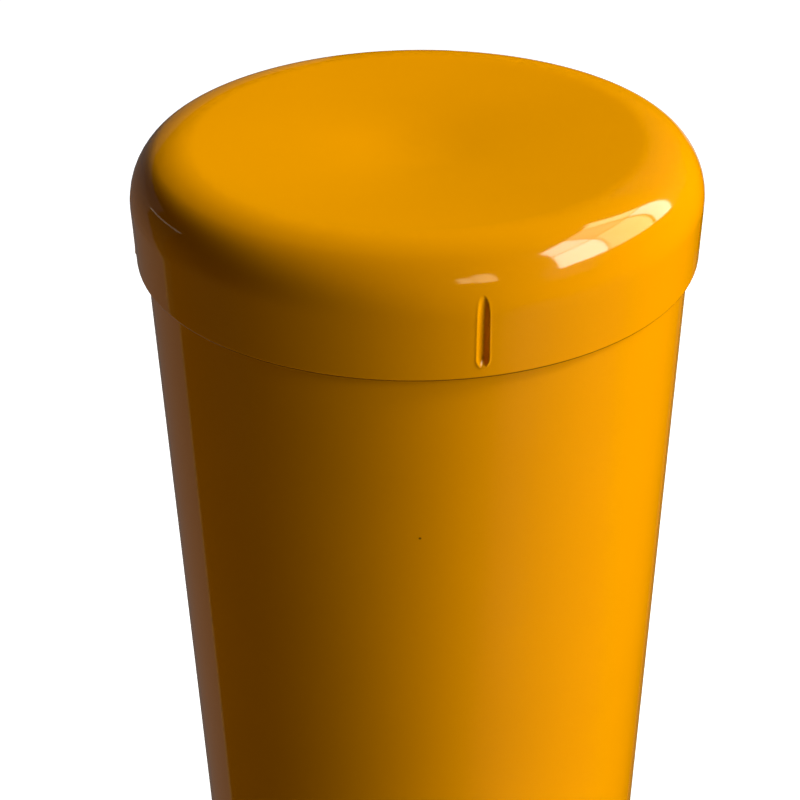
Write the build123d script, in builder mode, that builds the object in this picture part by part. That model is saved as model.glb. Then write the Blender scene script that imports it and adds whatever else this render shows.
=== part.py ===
from build123d import *
import os
from math import asin, cos, degrees, radians, sin, sqrt, tan

# A surface-mounted steel safety bollard: a pipe welded to a square base plate with four ribs, and a
# pressed steel cap that pushes over the open end of the pipe.
# Millimetres, +Z up, Z = 0 on the underside of the plate, the pipe's axis on Z. The front is -Y.

# ---- Driving dimensions ----
overall_height = 1000.0  # underside of the plate to the top of the cap's crest

tube_diameter = 168.3
tube_wall = 4.5
tube_edge_break = 0.8

cap_sheet = 1.5
cap_clearance = 1.35  # radial, skirt to pipe, taken up by the grip grooves
cap_seat_gap = 0.3  # between the crown's inside and the pipe's rim
cap_skirt_height = 18.7
cap_lip_radius = 1.2
crown_side_radius = 17.0  # outer radius of the crown where it leaves the skirt
crown_side_angle = 44.0  # degrees the face has turned where the shoulder begins
crown_shoulder_radius = 11.5
crown_shoulder_angle = 70.0  # degrees the face has turned where the crest begins
crown_crest_radius = 26.0
dish_slope = 5.5  # degrees, falling from the crest towards the middle
dish_middle_radius = 17.0  # where the slope gives way to the rounded middle

groove_count = 4
groove_width = 3.7  # at the lower end, where a groove is deepest
groove_depth = 1.5
groove_lean = 1.4  # degrees off the vertical, so that a groove gets shallower upwards
groove_foot_height = 3.8  # lower edge of the skirt to the lower end of a groove
groove_grip_clearance = 0.3  # radial, inside of a groove to the pipe

plate_side = 300.0
plate_thickness = 12.0
plate_corner_radius = 20.0
plate_edge_break = 1.0
bolt_edge_distance = 30.0  # hole centre to the plate's edges
bolt_hole_diameter = 18.0
fill_hole_diameter = 60.0

gusset_thickness = 8.0
gusset_height = 110.0
gusset_edge_margin = 14.0  # toe of the rib to the plate's edge
gusset_toe_height = 14.0
gusset_crown_width = 12.0
gusset_cope = 15.0  # inner corner cut away over the ring weld
gusset_edge_break = 0.6
gusset_azimuths = {"right": 0.0, "back": 90.0, "left": 180.0, "front": 270.0}

base_weld_leg = 7.0
gusset_weld_leg = 5.0
weld_bulge = 0.16  # height of a bead's rounded face, as a share of its leg


def polar(radius, angle):
    """Point at a radius and an angle in degrees from the first axis of a section."""
    return Vector(radius * cos(radians(angle)), radius * sin(radians(angle)))


# ---- Sizes that follow ----
tube_radius = tube_diameter / 2
cap_radius = tube_radius + cap_clearance + cap_sheet

# Centres of the crown's arcs, as radius and height over the cap's foot
side_centre = Vector(cap_radius - crown_side_radius, cap_skirt_height)
shoulder_centre = side_centre + polar(crown_side_radius - crown_shoulder_radius, crown_side_angle)
crest_centre = shoulder_centre + polar(crown_shoulder_radius - crown_crest_radius, crown_shoulder_angle)
dish_rim = crest_centre + polar(crown_crest_radius, 90 + dish_slope)
bowl_radius = dish_middle_radius / sin(radians(dish_slope))
bowl_side_height = dish_rim.Y - (dish_rim.X - dish_middle_radius) * tan(radians(dish_slope))
bowl_centre = Vector(0, bowl_side_height + bowl_radius * cos(radians(dish_slope)))
cap_height = crest_centre.Y + crown_crest_radius
cap_foot = overall_height - cap_height

inner_crown_radius = crown_side_radius - cap_sheet
rim_rise = sqrt(inner_crown_radius**2 - (tube_radius - side_centre.X) ** 2)
tube_top = cap_foot + cap_skirt_height + rim_rise - cap_seat_gap

groove_radius = (groove_width**2 / 4 + groove_depth**2) / (2 * groove_depth)
groove_axis_radius = cap_radius - groove_depth + groove_radius
groove_wall = cap_radius - groove_depth - tube_radius - groove_grip_clearance

bolt_spacing = plate_side - 2 * bolt_edge_distance
gusset_toe_radius = plate_side / 2 - gusset_edge_margin


def radial_plane(azimuth):
    """Upright plane through the axis: its x runs outwards at the azimuth and its y runs up."""
    outwards = Vector(1, 0, 0).rotate(Axis.Z, azimuth)
    return Plane((0, 0, 0), x_dir=outwards, z_dir=outwards.cross(Vector(0, 0, 1)))


def cap_section(inset):
    """Half section of the cap's face, inset by a thickness and closed along the axis and the foot."""
    foot = Vector(0, cap_foot)
    lip = 0 if inset else cap_lip_radius
    skirt_foot = foot + Vector(cap_radius - inset, 0)
    dish_side = foot + crest_centre + polar(crown_crest_radius - inset, 90 + dish_slope)
    bowl_side = foot + bowl_centre + polar(bowl_radius + inset, dish_slope - 90)
    bowl_middle = foot + bowl_centre + polar(bowl_radius + inset, -90)
    with BuildLine() as section:
        Line(foot, skirt_foot - Vector(lip, 0))
        if lip:
            CenterArc(skirt_foot + Vector(-lip, lip), lip, -90, 90)
        Line(skirt_foot + Vector(0, lip), skirt_foot + Vector(0, cap_skirt_height))
        CenterArc(foot + side_centre, crown_side_radius - inset, 0, crown_side_angle)
        CenterArc(
            foot + shoulder_centre,
            crown_shoulder_radius - inset,
            crown_side_angle,
            crown_shoulder_angle - crown_side_angle,
        )
        CenterArc(
            foot + crest_centre,
            crown_crest_radius - inset,
            crown_shoulder_angle,
            90 + dish_slope - crown_shoulder_angle,
        )
        Line(dish_side, bowl_side)
        CenterArc(foot + bowl_centre, bowl_radius + inset, dish_slope - 90, -dish_slope)
        Line(bowl_middle, foot)
    return section.line


def groove_tool(radius):
    """Round-ended rod that follows a grip groove, leaning outwards and long enough to clear the crown."""
    foot = Vector(groove_axis_radius, 0, cap_foot + groove_foot_height + groove_radius)
    rod_direction = Vector(0, 0, 1).rotate(Axis.Y, groove_lean)
    with BuildPart() as tool:
        with BuildSketch(Plane(foot, x_dir=(0, 1, 0), z_dir=rod_direction)):
            Circle(radius)
        extrude(amount=cap_height)
        with Locations(foot):
            Sphere(radius)
    return tool.part


def export(piece, name):
    """Label a finished sub-part and write its STEP file."""
    piece.part.label = name
    export_step(piece.part, f"parts/{name}.step")


os.makedirs("parts", exist_ok=True)

# ---- Cap: one pressing, hollow below, gripped to the pipe by the grooves in its skirt ----
with BuildPart() as cap_hollow:
    with BuildSketch(Plane.XZ):
        add(cap_section(cap_sheet))
        make_face()
    revolve(axis=Axis.Z)
    with PolarLocations(0, groove_count, start_angle=-90):
        add(groove_tool(groove_radius + groove_wall), mode=Mode.SUBTRACT)

with BuildPart() as cap:
    with BuildSketch(Plane.XZ):
        add(cap_section(0))
        make_face()
    revolve(axis=Axis.Z)
    add(cap_hollow.part, mode=Mode.SUBTRACT)
    with PolarLocations(0, groove_count, start_angle=-90):
        add(groove_tool(groove_radius), mode=Mode.SUBTRACT)
export(cap, "cap")

# ---- Pipe: stands on the plate and ends inside the cap's crown ----
with BuildPart() as post_tube:
    with BuildSketch(Plane.XY.offset(plate_thickness)):
        Circle(tube_radius)
        Circle(tube_radius - tube_wall, mode=Mode.SUBTRACT)
    extrude(amount=tube_top - plate_thickness)
    chamfer(post_tube.faces().sort_by(Axis.Z)[-1].edges(), tube_edge_break)
export(post_tube, "post_tube")

# ---- Base plate ----
with BuildPart() as base_plate:
    with BuildSketch():
        RectangleRounded(plate_side, plate_side, plate_corner_radius)
        Circle(fill_hole_diameter / 2, mode=Mode.SUBTRACT)
        with GridLocations(bolt_spacing, bolt_spacing, 2, 2):
            Circle(bolt_hole_diameter / 2, mode=Mode.SUBTRACT)
    extrude(amount=plate_thickness)
    top_outline = base_plate.faces().sort_by(Axis.Z)[-1].outer_wire()
    chamfer(top_outline.edges(), plate_edge_break)
export(base_plate, "base_plate")

# ---- Ring weld round the foot of the pipe ----
with BuildPart() as base_weld:
    with BuildSketch(Plane.XZ):
        with BuildLine():
            root = (tube_radius, plate_thickness)
            outer_toe = (tube_radius + base_weld_leg, plate_thickness)
            upper_toe = (tube_radius, plate_thickness + base_weld_leg)
            Line(root, outer_toe)
            SagittaArc(outer_toe, upper_toe, -weld_bulge * base_weld_leg)
            Line(upper_toe, root)
        make_face()
    revolve(axis=Axis.Z)
export(base_weld, "base_weld")

# ---- Ribs and their welds, one of each on every side ----
for side, azimuth in gusset_azimuths.items():
    rib_plane = radial_plane(azimuth)
    with BuildPart() as gusset:
        with BuildSketch(rib_plane):
            Polygon(
                (tube_radius - gusset_thickness, plate_thickness + gusset_cope),
                (tube_radius, plate_thickness + gusset_cope),
                (tube_radius + gusset_cope, plate_thickness),
                (gusset_toe_radius, plate_thickness),
                (gusset_toe_radius, plate_thickness + gusset_toe_height),
                (tube_radius + gusset_crown_width, plate_thickness + gusset_height),
                (tube_radius - gusset_thickness, plate_thickness + gusset_height),
                align=None,
            )
        extrude(amount=gusset_thickness / 2, both=True)
        broad_faces = gusset.faces().filter_by(Axis((0, 0, 0), rib_plane.z_dir))
        slanted_edges = broad_faces.edges().sort_by(Edge.length)[-4:]
        chamfer(slanted_edges, gusset_edge_break)
        with BuildSketch(Plane.XY):
            Circle(tube_radius)
        extrude(amount=overall_height, mode=Mode.SUBTRACT)
    export(gusset, f"gusset_{side}")

    # Two beads up the pipe and two along the plate, each round-faced
    half = gusset_thickness / 2
    corner_angle = degrees(asin(half / tube_radius))
    toe_angle = corner_angle + degrees(gusset_weld_leg / tube_radius)
    bead_start = plate_thickness + gusset_cope
    upright_plane = Plane((0, 0, bead_start), x_dir=rib_plane.x_dir, z_dir=(0, 0, 1))
    foot_start = rib_plane.x_dir * (tube_radius + gusset_cope)
    foot_plane = Plane(foot_start, x_dir=-rib_plane.z_dir, z_dir=rib_plane.x_dir)
    with BuildPart() as gusset_weld:
        for face in (1, -1):
            bulge = -face * weld_bulge * gusset_weld_leg
            root = Vector(tube_radius, 0).rotate(Axis.Z, face * corner_angle)
            tube_toe = Vector(tube_radius, 0).rotate(Axis.Z, face * toe_angle)
            rib_toe = root + Vector(gusset_weld_leg, 0)
            with BuildSketch(upright_plane):
                with BuildLine():
                    Line(root, rib_toe)
                    SagittaArc(rib_toe, tube_toe, bulge)
                    RadiusArc(tube_toe, root, face * tube_radius)
                make_face()
            extrude(amount=gusset_height - gusset_cope)

            root = Vector(face * half, plate_thickness)
            plate_toe = root + Vector(face * gusset_weld_leg, 0)
            rib_toe = root + Vector(0, gusset_weld_leg)
            with BuildSketch(foot_plane):
                with BuildLine():
                    Line(root, plate_toe)
                    SagittaArc(plate_toe, rib_toe, bulge)
                    Line(rib_toe, root)
                make_face()
            extrude(amount=gusset_toe_radius - tube_radius - gusset_cope)
    export(gusset_weld, f"gusset_weld_{side}")
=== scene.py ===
import math
import random

import bmesh
import bpy
from mathutils import Matrix, Vector


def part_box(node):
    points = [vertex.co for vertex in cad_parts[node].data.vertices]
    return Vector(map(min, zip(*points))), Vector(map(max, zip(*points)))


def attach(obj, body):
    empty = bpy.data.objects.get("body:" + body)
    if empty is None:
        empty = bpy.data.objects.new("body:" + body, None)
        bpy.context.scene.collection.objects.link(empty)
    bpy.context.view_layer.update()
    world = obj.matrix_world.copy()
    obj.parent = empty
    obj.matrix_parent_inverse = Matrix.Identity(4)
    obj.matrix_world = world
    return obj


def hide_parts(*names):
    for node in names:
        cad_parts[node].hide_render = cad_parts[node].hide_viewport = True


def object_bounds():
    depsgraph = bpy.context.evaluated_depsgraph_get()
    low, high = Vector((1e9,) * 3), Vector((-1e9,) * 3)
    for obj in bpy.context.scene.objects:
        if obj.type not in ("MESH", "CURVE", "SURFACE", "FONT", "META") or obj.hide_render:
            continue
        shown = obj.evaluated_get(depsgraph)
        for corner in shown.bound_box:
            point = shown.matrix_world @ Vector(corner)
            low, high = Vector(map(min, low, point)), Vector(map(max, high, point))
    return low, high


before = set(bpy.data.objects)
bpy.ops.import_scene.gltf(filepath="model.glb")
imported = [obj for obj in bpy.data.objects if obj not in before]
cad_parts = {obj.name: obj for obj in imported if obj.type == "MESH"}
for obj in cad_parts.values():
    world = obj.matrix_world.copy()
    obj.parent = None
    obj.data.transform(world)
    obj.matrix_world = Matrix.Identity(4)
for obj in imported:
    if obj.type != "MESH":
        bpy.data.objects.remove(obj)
cad_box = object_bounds()

MM = 0.001

# ---- Places from the frame ----
cap_low, cap_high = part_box("cap")
tube_low, tube_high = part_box("post_tube")
plate_low, plate_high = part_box("base_plate")
_, rib_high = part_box("gusset_right")
CAP_RADIUS = cap_high[0]
CAP_FOOT = cap_low[2]
TUBE_RADIUS = tube_high[0]
PLATE_TOP = plate_high[2]

# ---- Sizes of the pressed cap, as the CAD model has them ----
SHEET = 1.5 * MM
SKIRT_HEIGHT = 18.7 * MM
LIP_RADIUS = 1.2 * MM
LIP_SHADE = 0.75 * MM  # height of the painted shade along the skirt's cut edge, a dark band for the shadow in the gap under the lip
SIDE_RADIUS = 17.0 * MM
SIDE_ANGLE = math.radians(44.0)
SHOULDER_RADIUS = 11.5 * MM
SHOULDER_ANGLE = math.radians(70.0)
CREST_RADIUS = 26.0 * MM
DISH_SLOPE = math.radians(5.5)
DISH_MIDDLE_RADIUS = 17.0 * MM

# ---- Grip grooves pressed into the skirt: the path of a round-ended rod that leans outwards ----
GROOVE_COUNT = 4
GROOVE_WIDTH = 3.7 * MM
GROOVE_DEPTH = 1.5 * MM
GROOVE_LEAN = math.radians(1.4)
GROOVE_FOOT = 3.8 * MM
GROOVE_RADIUS = (GROOVE_WIDTH**2 / 4 + GROOVE_DEPTH**2) / (2 * GROOVE_DEPTH)
GROOVE_AXIS = CAP_RADIUS - GROOVE_DEPTH + GROOVE_RADIUS
GROOVE_WALL = 1.05 * MM  # sheet left behind the groove, which the pressing draws thinner
GROOVE_POINT = 1.6  # 1 is a V in section, 2 a rounded trough
GROOVE_SKEW = 0.35 * MM  # how far to one side of its middle the groove is deepest
GROOVE_RAMP = 0.6 * MM  # how far over the rod's foot the lower end starts to rise
GROOVE_ROLL = 0.22 * MM  # how far the rolled edge stands into the groove on each side
GROOVE_EDGE = 0.25 * MM  # how soft the pressed edge is
GROOVE_LIP = 0.15 * MM  # metal thrown up beside the groove
GROOVE_END_LIP = 0.25 * MM  # and more of it round the lower end
GROOVE_LIP_WIDTH = 0.45 * MM
GROOVE_BLUNT = 0.15  # keeps the round lower end from narrowing to a point
GROOVE_REACH = 4.5 * MM  # half width of the finely meshed strip

# ---- Post and base, as the CAD model has them ----
TUBE_WALL = 4.5 * MM
RIM_BREAK = 0.8 * MM
PLATE_CORNER = 20.0 * MM
PLATE_BREAK = 1.0 * MM
BOLT_EDGE = 30.0 * MM
BOLT_HOLE = 9.0 * MM
FILL_HOLE = 30.0 * MM
RIB_HALF = 4.0 * MM
RIB_SINK = 0.3 * MM  # so that its flat edge meets the round pipe
RIB_COPE = 15.0 * MM
RIB_TOE = 14.0 * MM
RIB_CROWN = 12.0 * MM
RIB_BREAK = 0.6 * MM
RING_LEG = 7.0 * MM
RIB_LEG = 5.0 * MM

# ---- The pipe's own welded seam, proud inside only ----
SEAM_AZIMUTH = math.radians(100)
SEAM_WIDTH = 2.2 * MM
SEAM_HEIGHT = 0.5 * MM

# ---- How finely the lathe meshes are cut ----
FACE_STEPS = 48  # along each long arc of the cap's outside
INSIDE_STEPS = 24
LIP_STEPS = 8
GROOVE_ROWS = 42  # up the skirt, over the lower end of the grooves
SKIRT_ROWS = 18  # and from there to the skirt's top
GROOVE_COLUMNS = 48
BETWEEN_COLUMNS = 27
PIPE_COLUMNS = 360

# ---- The photographed view: degrees and distances from the cap's foot ----
VIEW_AZIMUTH = math.radians(-11.3)
CAMERA_DISTANCE = 406.1 * MM
CAMERA_RISE = 200.0 * MM
CAMERA_YAW = math.radians(0.86)
CAMERA_PITCH = math.radians(32.74)
CAMERA_ROLL = math.radians(-0.84)
LENS = 64.42

SIDES = {"right": 0, "back": 90, "left": 180, "front": 270}


def link(obj):
    bpy.context.scene.collection.objects.link(obj)
    return obj


# ---------------------------------------------------------------- outlines

def ray(angle):
    return Vector((math.cos(angle), math.sin(angle)))


def arc(centre, radius, start, end, steps):
    """Points on an arc, both ends included."""
    return [centre + radius * ray(start + (end - start) * i / steps) for i in range(steps + 1)]


def straight(start, end, steps):
    """Points on a line, both ends included."""
    return [start.lerp(end, i / steps) for i in range(steps + 1)]


def cap_face(inset, steps):
    """The cap's section from the skirt's top to the middle of the dish, inset by the sheet or not."""
    side = Vector((CAP_RADIUS - SIDE_RADIUS, CAP_FOOT + SKIRT_HEIGHT))
    shoulder = side + (SIDE_RADIUS - SHOULDER_RADIUS) * ray(SIDE_ANGLE)
    crest = shoulder + (SHOULDER_RADIUS - CREST_RADIUS) * ray(SHOULDER_ANGLE)
    rim_angle = math.pi / 2 + DISH_SLOPE
    rim = crest + CREST_RADIUS * ray(rim_angle)
    bowl_radius = DISH_MIDDLE_RADIUS / math.sin(DISH_SLOPE)
    cone_drop = (rim.x - DISH_MIDDLE_RADIUS) * math.tan(DISH_SLOPE)
    bowl = Vector((0, rim.y - cone_drop + bowl_radius * math.cos(DISH_SLOPE)))
    points = arc(side, SIDE_RADIUS - inset, 0, SIDE_ANGLE, steps)
    points += arc(shoulder, SHOULDER_RADIUS - inset, SIDE_ANGLE, SHOULDER_ANGLE, steps // 2)[1:]
    points += arc(crest, CREST_RADIUS - inset, SHOULDER_ANGLE, rim_angle, steps)[1:]
    middle = arc(bowl, bowl_radius + inset, DISH_SLOPE - math.pi / 2, -math.pi / 2, steps // 4)
    points += straight(points[-1], middle[0], steps // 2)[1:]
    return points + middle[1:]


def soft_min(a, b, width):
    """The smaller of two lengths, rounded where they cross."""
    overlap = max(width - abs(a - b), 0) / width
    return min(a, b) - overlap * overlap * width / 4


def groove_axis(rise):
    """How far up the rod a height over the cap's foot is, and the radius to the rod's middle there."""
    up = rise - GROOVE_FOOT - GROOVE_RADIUS
    return up, GROOVE_AXIS + max(up, 0) * math.tan(GROOVE_LEAN)


def grooved(radius, offset, rise):
    """The outer face's radius with the groove pressed in and its lip thrown up.

    The offset is an arc length beside the groove's middle, the rise a height over the cap's foot.
    """
    up, axis = groove_axis(rise)
    depth = max(radius - axis + GROOVE_RADIUS, 0)
    half_width = math.sqrt(max(GROOVE_RADIUS**2 - (axis - radius) ** 2, 0)) - GROOVE_ROLL
    if half_width <= 0:
        return radius
    down = max(GROOVE_RAMP - up, 0) / (half_width + GROOVE_RAMP)
    beside = math.hypot(offset / half_width, down)
    lip = GROOVE_LIP + GROOVE_END_LIP * min(down, 1)
    lip *= min(depth / GROOVE_DEPTH, 1) * math.exp(-(((beside - 1) * half_width / GROOVE_LIP_WIDTH) ** 2))
    if beside >= 1 + GROOVE_EDGE / half_width:
        return radius + lip
    skew = GROOVE_SKEW if offset > GROOVE_SKEW else -GROOVE_SKEW
    narrowed = math.sqrt(max(1 - down**2, GROOVE_BLUNT))
    across = abs(offset - GROOVE_SKEW * narrowed) / (half_width - skew) / narrowed
    pressed = radius - depth * (1 - down**2) * (1 - across**GROOVE_POINT)
    return soft_min(radius + lip, pressed, GROOVE_EDGE)


def under_groove(radius, offset, rise):
    """The inner face's radius, pushed in by the back of the groove."""
    up, axis = groove_axis(rise)
    reach = (GROOVE_RADIUS + GROOVE_WALL) ** 2 - offset**2 - min(up, 0) ** 2
    return min(radius, axis - math.sqrt(reach)) if reach > 0 else radius


# ---------------------------------------------------------------- meshes

def finish_mesh(name, verts, faces, sharp):
    """A smooth object whose edges are sharp where its faces turn by more than some degrees."""
    mesh = bpy.data.meshes.new(name)
    mesh.from_pydata(verts, [], faces)
    mesh.shade_smooth()
    mesh.set_sharp_from_angle(angle=math.radians(sharp))
    return link(bpy.data.objects.new(name, mesh))


def ring_faces(rows, count, closed):
    """Quads between rows of a lathe, each row a closed ring of count points."""
    faces = []
    for row in range(rows if closed else rows - 1):
        here, there = row * count, (row + 1) % rows * count
        for i in range(count):
            j = (i + 1) % count
            faces.append((here + i, here + j, there + j, there + i))
    return faces


def turned(radius, height, angle):
    return (radius * math.cos(angle), radius * math.sin(angle), height)


def settle(piece, body, slot, *nodes):
    """Ride on a body and stand for CAD nodes. The slot is not used."""
    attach(piece, body)
    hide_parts(*nodes)
    return piece


def cap_angles():
    """Angles round the cap, closer together over the grooves."""
    step = 2 * math.pi / GROOVE_COUNT
    reach = GROOVE_REACH / CAP_RADIUS
    angles = []
    for groove in range(GROOVE_COUNT):
        middle = -math.pi / 2 + groove * step
        angles += [middle - reach + 2 * reach * i / GROOVE_COLUMNS for i in range(GROOVE_COLUMNS)]
        end, gap = middle + reach, step - 2 * reach
        angles += [end + gap * i / BETWEEN_COLUMNS for i in range(BETWEEN_COLUMNS)]
    return angles


def make_cap():
    """A lathe of the sheet's two faces, with the grooves pressed into the skirt."""
    foot = Vector((0, CAP_FOOT))
    skirt_top = foot + Vector((CAP_RADIUS, SKIRT_HEIGHT))
    lip_centre = foot + Vector((CAP_RADIUS - LIP_RADIUS, LIP_RADIUS))
    groove_foot_end = foot + Vector((CAP_RADIUS, GROOVE_FOOT + 2 * GROOVE_RADIUS))
    *outer_face, top_middle_point = cap_face(0, FACE_STEPS)
    *inner_face, under_middle_point = cap_face(SHEET, INSIDE_STEPS)
    outer = arc(lip_centre, LIP_RADIUS, -math.pi / 2, 0, LIP_STEPS)
    outer += straight(outer[-1], groove_foot_end, GROOVE_ROWS)[1:]
    outer += straight(groove_foot_end, skirt_top, SKIRT_ROWS)[1:]
    outer += outer_face[1:]
    inner = straight(foot + Vector((CAP_RADIUS - SHEET, 0)), inner_face[0], INSIDE_STEPS)
    inner += inner_face[1:]
    inner.reverse()
    angles = cap_angles()
    step = 2 * math.pi / GROOVE_COUNT

    def on_cap(row, angle, pressed):
        offset = ((angle + math.pi / 2 + step / 2) % step - step / 2) * CAP_RADIUS
        radius = row.x
        if abs(offset) < GROOVE_REACH and radius > CAP_RADIUS / 2:
            radius = pressed(radius, offset, row.y - CAP_FOOT)
        return turned(radius, row.y, angle)

    verts = [on_cap(row, angle, under_groove) for row in inner for angle in angles]
    verts += [on_cap(row, angle, grooved) for row in outer for angle in angles]
    count, rows = len(angles), len(inner) + len(outer)
    faces = ring_faces(rows, count, closed=False)
    last = (rows - 1) * count
    under_middle, top_middle = len(verts), len(verts) + 1
    verts += [(0, 0, under_middle_point.y), (0, 0, top_middle_point.y)]
    faces += [((i + 1) % count, i, under_middle) for i in range(count)]
    faces += [(last + i, last + (i + 1) % count, top_middle) for i in range(count)]
    cap = finish_mesh("cap_shell", verts, faces, sharp=60)
    for face in cap.data.polygons:
        inside = all(i < len(inner) * count or i == under_middle for i in face.vertices)
        face.material_index = 1 if inside else 0
    return settle(cap, "cap", "cap_coat", "cap")


def make_pipe():
    """A lathe of the pipe's wall, with both edges of its rim broken."""
    bore = TUBE_RADIUS - TUBE_WALL
    foot, rim = tube_low[2], tube_high[2]
    section = [
        Vector((bore, rim - RIM_BREAK)),
        Vector((bore, foot)),
        Vector((TUBE_RADIUS, foot)),
        Vector((TUBE_RADIUS, rim - RIM_BREAK)),
        Vector((TUBE_RADIUS - RIM_BREAK, rim)),
        Vector((bore + RIM_BREAK, rim)),
    ]
    verts = []
    for row, point in enumerate(section):
        for i in range(PIPE_COLUMNS):
            angle = 2 * math.pi * i / PIPE_COLUMNS
            beside = (angle - SEAM_AZIMUTH) * bore / SEAM_WIDTH
            seam = SEAM_HEIGHT * math.exp(-(beside**2)) if row < 2 else 0  # the first two rows are the bore
            verts.append(turned(point.x - seam, point.y, angle))
    pipe = finish_mesh("pipe", verts, ring_faces(len(section), PIPE_COLUMNS, closed=True), sharp=30)
    for index, face in enumerate(pipe.data.polygons):
        face.material_index = 1 if index < PIPE_COLUMNS else 0
    return settle(pipe, "post", "post_coat", "post_tube")


def flat_plate(name, outline, holes, low, high, bevel):
    """A sheet-metal piece cut from an outline in X and Y, with rounded edges."""
    curve = bpy.data.curves.new(name, "CURVE")
    curve.dimensions = "2D"
    curve.fill_mode = "BOTH"
    curve.extrude = (high - low) / 2 - bevel
    curve.bevel_depth = bevel
    curve.bevel_resolution = 2
    curve.offset = -bevel
    for loop in [outline] + [list(reversed(hole)) for hole in holes]:
        spline = curve.splines.new("POLY")
        spline.points.add(len(loop) - 1)
        spline.use_cyclic_u = True
        for point, place in zip(spline.points, loop):
            point.co = (place[0], place[1], 0, 1)
    source = link(bpy.data.objects.new(name + "_outline", curve))
    mesh = bpy.data.meshes.new_from_object(source)
    bpy.data.objects.remove(source)
    mesh.transform(Matrix.Translation((0, 0, (low + high) / 2)))
    mesh.name = name
    mesh.materials.clear()
    cleaner = bmesh.new()
    cleaner.from_mesh(mesh)
    bmesh.ops.remove_doubles(cleaner, verts=cleaner.verts, dist=0.01 * MM)
    bmesh.ops.recalc_face_normals(cleaner, faces=cleaner.faces)
    cleaner.to_mesh(mesh)
    cleaner.free()
    mesh.shade_smooth()
    plate = link(bpy.data.objects.new(name, mesh))
    plate.modifiers.new("flat_faces", "WEIGHTED_NORMAL").weight = 100
    return plate


def circle(x, y, radius, steps):
    return arc(Vector((x, y)), radius, 0, 2 * math.pi, steps)[:-1]


def make_plate():
    """The square anchor plate, with its bolt holes and its fill hole."""
    half = plate_high[0]
    corner = half - PLATE_CORNER
    outline = []
    for index, (x, y) in enumerate(((1, 1), (-1, 1), (-1, -1), (1, -1))):
        start = index * math.pi / 2
        outline += arc(Vector((x, y)) * corner, PLATE_CORNER, start, start + math.pi / 2, 16)
    bolt = half - BOLT_EDGE
    holes = [circle(x, y, BOLT_HOLE, 48) for x in (-bolt, bolt) for y in (-bolt, bolt)]
    holes.append(circle(0, 0, FILL_HOLE, 96))
    plate = flat_plate("anchor_plate", outline, holes, plate_low[2], PLATE_TOP, PLATE_BREAK)
    return settle(plate, "post", "base_coat", "base_plate")


def make_rib(side, degrees):
    """One stiffening rib, its inner corner cut away over the ring weld."""
    inner = TUBE_RADIUS - RIB_SINK
    toe = rib_high[0]
    foot, top = PLATE_TOP, rib_high[2]
    outline = [
        (inner, foot + RIB_COPE),
        (TUBE_RADIUS + RIB_COPE, foot),
        (toe, foot),
        (toe, foot + RIB_TOE),
        (TUBE_RADIUS + RIB_CROWN, top),
        (inner, top),
    ]
    rib = flat_plate("rib_" + side, outline, [], -RIB_HALF, RIB_HALF, RIB_BREAK)
    rib.data.transform(Matrix.Rotation(math.pi / 2, 4, "X"))
    rib.data.transform(Matrix.Rotation(math.radians(degrees), 4, "Z"))
    return settle(rib, "post", "base_coat", "gusset_" + side)


# ---------------------------------------------------------------- weld beads

RIPPLE_PITCH = 3.2 * MM
RIPPLE_STEPS = 6  # rows of points for each ripple
RIPPLE_TRAIL = 0.9  # how far a ripple's middle trails its toes, in pitches
RIPPLE_DEPTH = 0.16  # share of the bulge that is lost between two ripples
RIPPLE_NOTCH = 0.05  # and how much more the face draws in there
BEAD_STEPS = 8  # points across a bead, less one
BEAD_BULGE = 0.16  # height of the rounded face, as a share of the leg
DIAGONAL = 0.7  # what a rise off the face, between the two legs, adds along each of them
BEAD_FULLNESS = 0.93  # share of its leg that a bead reaches
BEAD_WANDER = 0.05  # and how far that share strays
BEAD_END = 0.55  # share of its size with which a bead starts and stops


def bead_section(leg, along, fullness):
    """Points of a bead's face from one toe to the other, as lengths along its two legs.

    Each ripple is a shallow crescent: its middle trails its toes, as a weld pool leaves them.
    """
    points = []
    for i in range(BEAD_STEPS + 1):
        share = i / BEAD_STEPS
        middle = math.sin(math.pi * share)
        phase = along / RIPPLE_PITCH - RIPPLE_TRAIL * middle
        crest = 1 - abs(math.sin(math.pi * phase)) * RIPPLE_DEPTH * middle
        bulge = BEAD_BULGE * middle * crest * fullness
        rise = bulge * DIAGONAL - RIPPLE_NOTCH * middle * (1 - crest)
        a = (1 - share) * fullness + rise
        b = share * fullness + rise
        points.append((leg * min(a, 1), leg * min(b, 1)))
    return points


def bead_mesh(stations, leg, closed, wander):
    """Verts and faces of one bead. A station is its distance along, its root and the two leg directions."""
    verts, faces = [], []
    size = BEAD_STEPS + 2
    length = stations[-1][0]
    for along, root, leg_a, leg_b in stations:
        fullness = BEAD_FULLNESS + BEAD_WANDER * wander(along)
        if not closed:
            end = min(along, length - along)
            fullness *= BEAD_END + (1 - BEAD_END) * math.sqrt(min(end / leg, 1))
        verts.append(root)
        verts += [root + leg_a * a + leg_b * b for a, b in bead_section(leg, along, fullness)]
    count = len(stations)
    for row in range(count if closed else count - 1):
        here, there = row * size, (row + 1) % count * size
        for i in range(size):
            j = (i + 1) % size
            faces.append((here + i, there + i, there + j, here + j))
    if not closed:
        faces.append(tuple(range(size)))
        faces.append(tuple(reversed(range((count - 1) * size, count * size))))
    return verts, faces


def hand(seed):
    """A welder's slow unevenness along a bead, from -1 to 1."""
    dice = random.Random(seed)
    waves = [(dice.uniform(9, 40) * MM, dice.uniform(0, 6.28), dice.uniform(0.4, 1)) for _ in range(4)]
    total = sum(weight for _, _, weight in waves)
    return lambda along: sum(w * math.sin(along / pitch + start) for pitch, start, w in waves) / total


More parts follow.
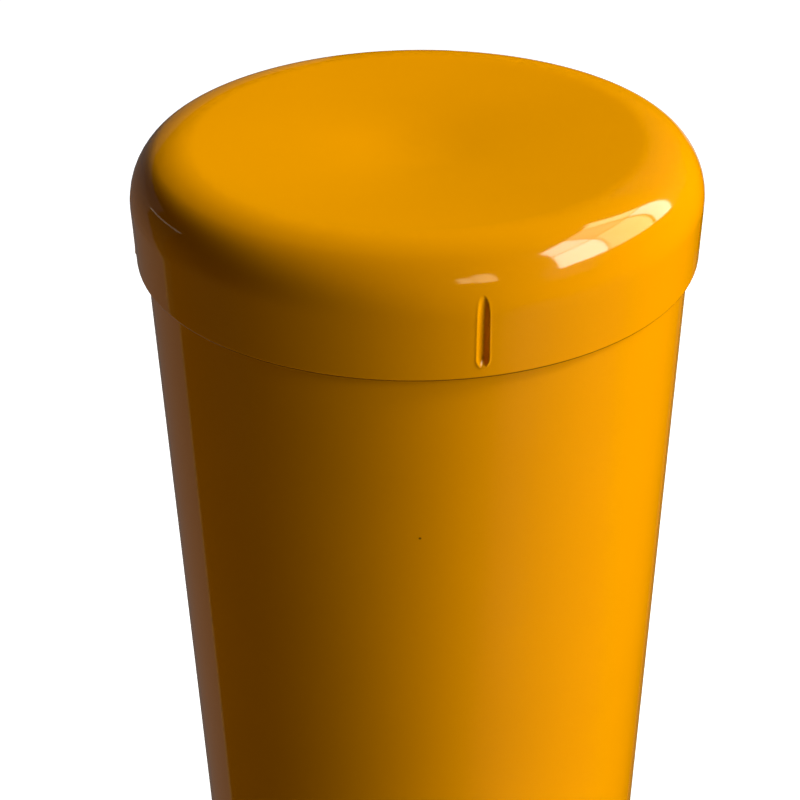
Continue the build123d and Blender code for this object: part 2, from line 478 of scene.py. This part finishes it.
def straight_bead(start, end, leg_a, leg_b, leg, seed):
    length = (end - start).length
    steps = round(length / RIPPLE_PITCH * RIPPLE_STEPS)
    stations = [(length * i / steps, start.lerp(end, i / steps), leg_a, leg_b) for i in range(steps + 1)]
    return bead_mesh(stations, leg, closed=False, wander=hand(seed))


def make_ring_bead():
    """The fillet weld right round the pipe's foot."""
    turn = 2 * math.pi * (TUBE_RADIUS + RING_LEG / 2)
    ripples = round(turn / RIPPLE_PITCH)
    steps = ripples * RIPPLE_STEPS
    up = Vector((0, 0, 1))
    stations = []
    for i in range(steps):
        angle = 2 * math.pi * i / steps
        out = Vector((math.cos(angle), math.sin(angle), 0))
        stations.append((ripples * RIPPLE_PITCH * i / steps, out * TUBE_RADIUS + up * PLATE_TOP, out, up))

    def wave(along):
        return 0.6 * math.sin(6 * math.pi * along / (ripples * RIPPLE_PITCH))

    verts, faces = bead_mesh(stations, RING_LEG, closed=True, wander=wave)
    ring = finish_mesh("ring_bead", verts, faces, sharp=50)
    return settle(ring, "post", "weld_coat", "base_weld")


def make_rib_beads(side, degrees):
    """Four fillet welds for each rib: up the pipe and along the plate, on both of its faces."""
    out = Vector((math.cos(math.radians(degrees)), math.sin(math.radians(degrees)), 0))
    across = Vector((-out.y, out.x, 0))
    up = Vector((0, 0, 1))
    verts, faces = [], []
    for index, face in enumerate((1, -1)):
        aside = across * face
        pipe_root = out * math.sqrt(TUBE_RADIUS**2 - RIB_HALF**2) + aside * RIB_HALF
        low = pipe_root + up * (PLATE_TOP + RIB_COPE)
        high = pipe_root + up * rib_high[2]
        plate_root = aside * RIB_HALF + up * PLATE_TOP
        near = plate_root + out * (TUBE_RADIUS + RIB_COPE)
        far = plate_root + out * rib_high[0]
        round_pipe = (aside - out * RIB_LEG / TUBE_RADIUS).normalized()
        seed = degrees + index
        for ends in ((low, high, out, round_pipe), (near, far, aside, up)):
            more_verts, more_faces = straight_bead(*ends, RIB_LEG, seed)
            faces += [tuple(len(verts) + i for i in quad) for quad in more_faces]
            verts += more_verts
            seed += 500
    beads = finish_mesh("rib_beads_" + side, verts, faces, sharp=50)
    cleaner = bmesh.new()
    cleaner.from_mesh(beads.data)
    bmesh.ops.recalc_face_normals(cleaner, faces=cleaner.faces)
    cleaner.to_mesh(beads.data)
    cleaner.free()
    return settle(beads, "post", "weld_coat", "gusset_weld_" + side)


# ---------------------------------------------------------------- materials

class Shade:
    """A material's node tree, with short calls for the nodes that are used here."""

    def __init__(self, name):
        self.material = bpy.data.materials.new(name)
        self.material.use_nodes = True
        self.tree = self.material.node_tree
        self.shader = self.tree.nodes["Principled BSDF"]
        self.place = self.tree.nodes.new("ShaderNodeTexCoord").outputs["Object"]

    def set(self, **values):
        for name, value in values.items():
            self.shader.inputs[name.replace("_", " ")].default_value = value

    def noise(self, scale, detail=2.0, roughness=0.5):
        node = self.tree.nodes.new("ShaderNodeTexNoise")
        node.inputs["Scale"].default_value = scale
        node.inputs["Detail"].default_value = detail
        node.inputs["Roughness"].default_value = roughness
        self.tree.links.new(self.place, node.inputs["Vector"])
        return node.outputs["Fac"]

    def away(self, where):
        """Distance from a place on the object."""
        node = self.tree.nodes.new("ShaderNodeVectorMath")
        node.operation = "DISTANCE"
        node.inputs[1].default_value = where
        self.tree.links.new(self.place, node.inputs[0])
        return node.outputs["Value"]

    def speck(self, where, size):
        """1 inside one small round spot at a place on the object, else 0."""
        return self.range(self.away(where), 1, 0, size * 0.5, size)

    def height(self, low, high):
        """0 under a height, 1 over another."""
        node = self.tree.nodes.new("ShaderNodeSeparateXYZ")
        self.tree.links.new(self.place, node.inputs[0])
        return self.range(node.outputs["Z"], 0, 1, low, high)

    def ramp(self, source, low, high, low_colour, high_colour):
        node = self.tree.nodes.new("ShaderNodeValToRGB")
        node.color_ramp.elements[0].position = low
        node.color_ramp.elements[1].position = high
        node.color_ramp.elements[0].color = (*low_colour, 1)
        node.color_ramp.elements[1].color = (*high_colour, 1)
        self.tree.links.new(source, node.inputs["Fac"])
        return node.outputs["Color"]

    def range(self, source, low, high, start=0.0, end=1.0):
        node = self.tree.nodes.new("ShaderNodeMapRange")
        node.inputs["From Min"].default_value = start
        node.inputs["From Max"].default_value = end
        node.inputs["To Min"].default_value = low
        node.inputs["To Max"].default_value = high
        self.tree.links.new(source, node.inputs["Value"])
        return node.outputs["Result"]

    def mix(self, factor, first, second):
        node = self.tree.nodes.new("ShaderNodeMix")
        node.data_type = "RGBA"
        for name, value in (("Factor", factor), ("A", first), ("B", second)):
            socket = node.inputs[name]
            if isinstance(value, tuple):
                socket.default_value = (*value, 1)
            else:
                self.tree.links.new(value, socket)
        return node.outputs["Result"]

    def bump(self, source, height, under=None):
        node = self.tree.nodes.new("ShaderNodeBump")
        node.inputs["Distance"].default_value = height
        self.tree.links.new(source, node.inputs["Height"])
        if under is not None:
            self.tree.links.new(under, node.inputs["Normal"])
        return node.outputs["Normal"]

    def wire(self, name, source):
        self.tree.links.new(source, self.shader.inputs[name])


YELLOW = (0.86, 0.325, 0.0)
# dark colour of the dust nibs, and of the painted shade at the cap's cut edge
DUST_AND_SHADE = (0.16, 0.05, 0.004)


def yellow_paint(name, gloss, peel, waves, specks=(), painted_shade_band=None):
    """Stoved gloss paint: near-even colour, faint orange peel and long soft waves, a few dust nibs, and if
    given a band of painted shade.
    """
    shade = Shade(name)
    shade.set(IOR=1.5)
    light = tuple(min(c * 1.03, 1) for c in YELLOW)
    dark = tuple(c * 0.965 for c in YELLOW)
    colour = shade.ramp(shade.noise(9, 3), 0.3, 0.7, dark, light)
    long_waves = shade.bump(shade.noise(26, 1), waves)
    surface = shade.bump(shade.noise(420, 1), peel, long_waves)
    for where, size in specks:
        nib = shade.speck(where, size)
        colour = shade.mix(nib, colour, DUST_AND_SHADE)
        surface = shade.bump(nib, 0.04 * MM, surface)
    # painted shade: a dark band between the given heights stands for the shadow under the cap's lip
    if painted_shade_band is not None:
        colour = shade.mix(shade.height(*painted_shade_band), DUST_AND_SHADE, colour)
    shade.wire("Base Color", colour)
    shade.wire("Roughness", shade.range(shade.noise(40, 4), gloss * 0.75, gloss * 1.25))
    shade.wire("Normal", surface)
    return shade.material


def bare_steel(name, dust):
    """Mill-scaled steel inside the pipe and the cap, with rust bloom and a dusting of yellow overspray."""
    shade = Shade(name)
    shade.set(Metallic=0.75)
    scale = shade.ramp(shade.noise(60, 6, 0.7), 0.35, 0.65, (0.10, 0.105, 0.115), (0.24, 0.235, 0.23))
    rust = shade.ramp(shade.noise(22, 8, 0.75), 0.52, 0.66, (0, 0, 0), (1, 1, 1))
    colour = shade.mix(rust, scale, (0.19, 0.075, 0.03))
    spray = shade.ramp(shade.noise(900, 2), 0.63 - dust, 0.68 - dust, (0, 0, 0), (1, 1, 1))
    shade.wire("Base Color", shade.mix(spray, colour, YELLOW))
    shade.wire("Roughness", shade.range(shade.noise(60, 5), 0.42, 0.68))
    shade.wire("Normal", shade.bump(shade.noise(300, 6, 0.7), 0.15 * MM))
    return shade.material


def emission(name, colour, strength):
    material = bpy.data.materials.new(name)
    material.use_nodes = True
    tree = material.node_tree
    tree.nodes.clear()
    glow = tree.nodes.new("ShaderNodeEmission")
    glow.inputs["Color"].default_value = (*colour, 1)
    glow.inputs["Strength"].default_value = strength
    out = tree.nodes.new("ShaderNodeOutputMaterial")
    tree.links.new(glow.outputs[0], out.inputs["Surface"])
    return material


def paint(obj, *materials):
    for material in materials:
        obj.data.materials.append(material)


# ---------------------------------------------------------------- studio

AIM = Vector((0, 0, CAP_FOOT))
STRIP_WIDTH = 12  # degrees, of each flat strip of a curved wall
WALL_DISTANCE = 2.8
SOFTBOX_DISTANCE = 2.6
DOOR_DISTANCE = 2.7
GLEAM_DISTANCE = 2.6


def direction(azimuth, elevation):
    """Unit vector from the cap: azimuth in degrees to the right of the photographed view."""
    heading = VIEW_AZIMUTH + math.radians(azimuth)
    flat = math.cos(math.radians(elevation))
    return Vector((math.sin(heading) * flat, -math.cos(heading) * flat, math.sin(math.radians(elevation))))


def post_face(azimuth, rise):
    """A place on the pipe, as degrees to the right of the view and millimetres over the cap's foot."""
    out = direction(azimuth, 0) * TUBE_RADIUS
    return Vector((out.x, out.y, CAP_FOOT + rise * MM))


def soft_light(name, azimuth, elevation, distance, size, share, colour=(1, 1, 1)):
    """An area light that gives its share of the light on a face turned to it, and shows in no gloss."""
    data = bpy.data.lights.new(name, "AREA")
    data.shape = "SQUARE"
    data.size = size
    data.energy = share * math.pi**2 * distance**2
    data.color = colour
    light = link(bpy.data.objects.new(name, data))
    light.location = AIM + direction(azimuth, elevation) * distance
    light.rotation_euler = (-direction(azimuth, elevation)).to_track_quat("-Z", "Y").to_euler()
    light.visible_camera = False
    light.visible_glossy = False


def card(name, corners, colour, strength):
    """A glowing sheet seen only in the gloss. Its corners go round it, as places about the cap's foot."""
    steps = 6
    verts = []
    for i in range(steps + 1):
        low = corners[0].lerp(corners[1], i / steps)
        high = corners[3].lerp(corners[2], i / steps)
        verts += [AIM + low.lerp(high, j / steps) for j in range(steps + 1)]
    size = steps + 1
    faces = [
        (r * size + c, r * size + c + 1, (r + 1) * size + c + 1, (r + 1) * size + c)
        for r in range(steps) for c in range(steps)
    ]
    mesh = bpy.data.meshes.new(name)
    mesh.from_pydata(verts, [], faces)
    sheet = link(bpy.data.objects.new(name, mesh))
    paint(sheet, emission(name, colour, strength))
    sheet.visible_camera = False
    sheet.visible_diffuse = False
    sheet.visible_shadow = False
    sheet.visible_transmission = False
    sheet.visible_volume_scatter = False


def wall(name, azimuths, elevations, colour, strength, distance=WALL_DISTANCE):
    """A curved sheet about the post, in strips that are narrow enough to look round."""
    width = azimuths[1] - azimuths[0]
    low, high = elevations
    strips = max(round(width / STRIP_WIDTH), 1)
    for i in range(strips):
        start = azimuths[0] + width * i / strips
        end = azimuths[0] + width * (i + 1) / strips
        places = ((start, low), (end, low), (end, high), (start, high))
        card(f"{name}_{i}", [direction(a, e) * distance for a, e in places], colour, strength)


def make_camera():
    """The photographed view, from above the cap and a little to its left."""
    data = bpy.data.cameras.new("camera")
    data.lens = LENS
    data.sensor_width = 36.0
    data.clip_start = 0.01
    camera = link(bpy.data.objects.new("camera", data))
    place = direction(0, 0) * CAMERA_DISTANCE
    place.z = CAP_FOOT + CAMERA_RISE
    turn = (
        Matrix.Rotation(VIEW_AZIMUTH + CAMERA_YAW, 4, "Z")
        @ Matrix.Rotation(math.pi / 2 - CAMERA_PITCH, 4, "X")
        @ Matrix.Rotation(CAMERA_ROLL, 4, "Z")
    )
    camera.matrix_world = Matrix.Translation(place) @ turn
    bpy.context.scene.camera = camera


def make_floor():
    """A pale floor that glows less near the post, a painted shade round it in which its real soft shadow
    also shows, and glows white further off.
    """
    mesh = bpy.data.meshes.new("floor")
    builder = bmesh.new()
    bmesh.ops.create_grid(builder, x_segments=1, y_segments=1, size=12)
    builder.to_mesh(mesh)
    builder.free()
    floor = link(bpy.data.objects.new("floor", mesh))
    floor.location.z = cad_box[0][2]
    shade = Shade("pale_floor")
    shade.set(Base_Color=(0.4, 0.4, 0.4, 1), Roughness=1.0, Emission_Color=(1, 1, 1, 1))
    # painted shade: the glow rises from half near the post to full further off, so the floor is darker
    # round the post
    shade.wire("Emission Strength", shade.range(shade.away((0, 0, 0)), 0.5, 1.0, 0.2, 0.9))
    paint(floor, shade.material)
    floor.visible_glossy = False
    floor.visible_diffuse = False


def make_world():
    """White to the camera, and a dim warm room to everything else."""
    world = bpy.data.worlds.new("studio")
    bpy.context.scene.world = world
    world.use_nodes = True
    tree = world.node_tree
    tree.nodes.clear()
    path = tree.nodes.new("ShaderNodeLightPath")
    choose = tree.nodes.new("ShaderNodeMixShader")
    tree.links.new(path.outputs["Is Camera Ray"], choose.inputs["Fac"])
    for socket, colour in ((1, (0.02, 0.01, 0.0)), (2, (1.0, 1.0, 1.0))):
        room = tree.nodes.new("ShaderNodeBackground")
        room.inputs["Color"].default_value = (*colour, 1)
        tree.links.new(room.outputs[0], choose.inputs[socket])
    out = tree.nodes.new("ShaderNodeOutputWorld")
    tree.links.new(choose.outputs[0], out.inputs["Surface"])


def make_lights():
    """Soft lights: the window's side, the back, a weak left side and what the ground throws up."""
    cool, warm = (0.93, 1.0, 0.9), (1.0, 0.85, 0.6)
    soft_light("window_light", 60, 22, 2.2, 0.8, 0.38)
    soft_light("high_window_light", 84, 38, 2.2, 0.8, 0.80)
    soft_light("right_back_light", 132, 22, 2.2, 0.8, 0.47, cool)
    soft_light("back_light", 156, 22, 2.2, 0.8, 0.75, cool)
    soft_light("left_back_light", -132, -25, 1.2, 0.5, 0.14, warm)
    soft_light("left_light", -84, -25, 1.2, 0.5, 0.13, warm)
    soft_light("ground_bounce", 61, -38, 1.1, 1.0, 0.74)


def make_window():
    """A tall barred window behind to the right, which the gloss of the crown picks up."""
    top_left = direction(76, 58.7) * 3.85
    along = direction(150, 47.4) * 3.02 - top_left
    down = direction(57, 27.9) * 3.15 - top_left
    bars = (0, 0.54, 0.86, 1)
    sills = (0, 0.45, 1)
    bar = 0.01  # half of a bar's width, as a share of the window
    cream, straw, amber = (1.0, 0.98, 0.84), (1.0, 0.92, 0.52), (1.0, 0.8, 0.45)
    panes = (
        ((cream, 9.5), (amber, 4.6), (straw, 6.5)),
        ((cream, 11.5), (straw, 6.5), (cream, 7.5)),
    )
    for r, row in enumerate(panes):
        for c, (colour, strength) in enumerate(row):
            left, right = bars[c] + bar, bars[c + 1] - bar
            top, bottom = sills[r] + bar, sills[r + 1] - bar
            corners = [top_left + along * u + down * v for u, v in
                       ((left, top), (right, top), (right, bottom), (left, bottom))]
            card(f"pane_{r}_{c}", corners, colour, strength)


def make_walls():
    """What else the gloss picks up: a skylight in front, dull walls behind, a door and two softboxes."""
    wall("skylight_left", (16, 23.4), (34, 43), (1.0, 0.78, 0.42), 4.6)
    wall("skylight_right", (24, 33), (32, 46), (1.0, 0.78, 0.42), 4.6)
    wall("left_wall", (-175, -118), (-52, 5), (0.95, 0.93, 0.9), 0.1)
    wall("left_wall_top", (-175, -118), (5, 16), (0.95, 0.93, 0.9), 0.07)
    wall("left_jamb", (-118, -117), (-52, 0), (1.0, 0.8, 0.3), 0.25)
    wall("right_wall", (145, 175), (-52, -26), (1.0, 0.9, 0.7), 0.03)
    door = [direction(-123, -29), direction(-113, -29), direction(-102, 14), direction(-123, 4)]
    card("left_door", [corner * DOOR_DISTANCE for corner in door], (0.9, 1.0, 0.3), 0.03)
    gleam = [direction(-123, 4), direction(-102, 14), direction(-102, 15.2), direction(-123, 4.8)]
    card("left_gleam", [corner * GLEAM_DISTANCE for corner in gleam], (1.0, 0.95, 0.8), 1.0)
    wall("right_softbox", (156, 178), (-24, -8), (1, 1, 1), 0.4)
    wall("left_softbox", (-165, -140), (-24, -6), (1, 1, 1), 0.5, SOFTBOX_DISTANCE)


make_camera()
make_floor()
make_world()
make_lights()
make_window()
make_walls()

# painted shade: a dark band at the cap's foot, for the shadow in the gap under the lip
lip_shade_band = (CAP_FOOT + LIP_SHADE * 0.8, CAP_FOOT + LIP_SHADE * 1.2)
cap_coat = yellow_paint("cap_coat", 0.07, 0.002 * MM, 0.02 * MM, painted_shade_band=lip_shade_band)
post_coat = yellow_paint("post_coat", 0.07, 0.002 * MM, 0.02 * MM, specks=[(post_face(0.2, -54), 0.5 * MM)])
base_coat = yellow_paint("base_coat", 0.16, 0.006 * MM, 0.03 * MM)
cap_inside = bare_steel("cap_inside", dust=0.03)
pipe_inside = bare_steel("pipe_inside", dust=0.0)

paint(make_cap(), cap_coat, cap_inside)
paint(make_pipe(), post_coat, pipe_inside)
paint(make_plate(), base_coat)
paint(make_ring_bead(), base_coat)
for side, degrees in SIDES.items():
    paint(make_rib(side, degrees), base_coat)
    paint(make_rib_beads(side, degrees), base_coat)

bpy.context.scene.view_settings.view_transform = "Standard"
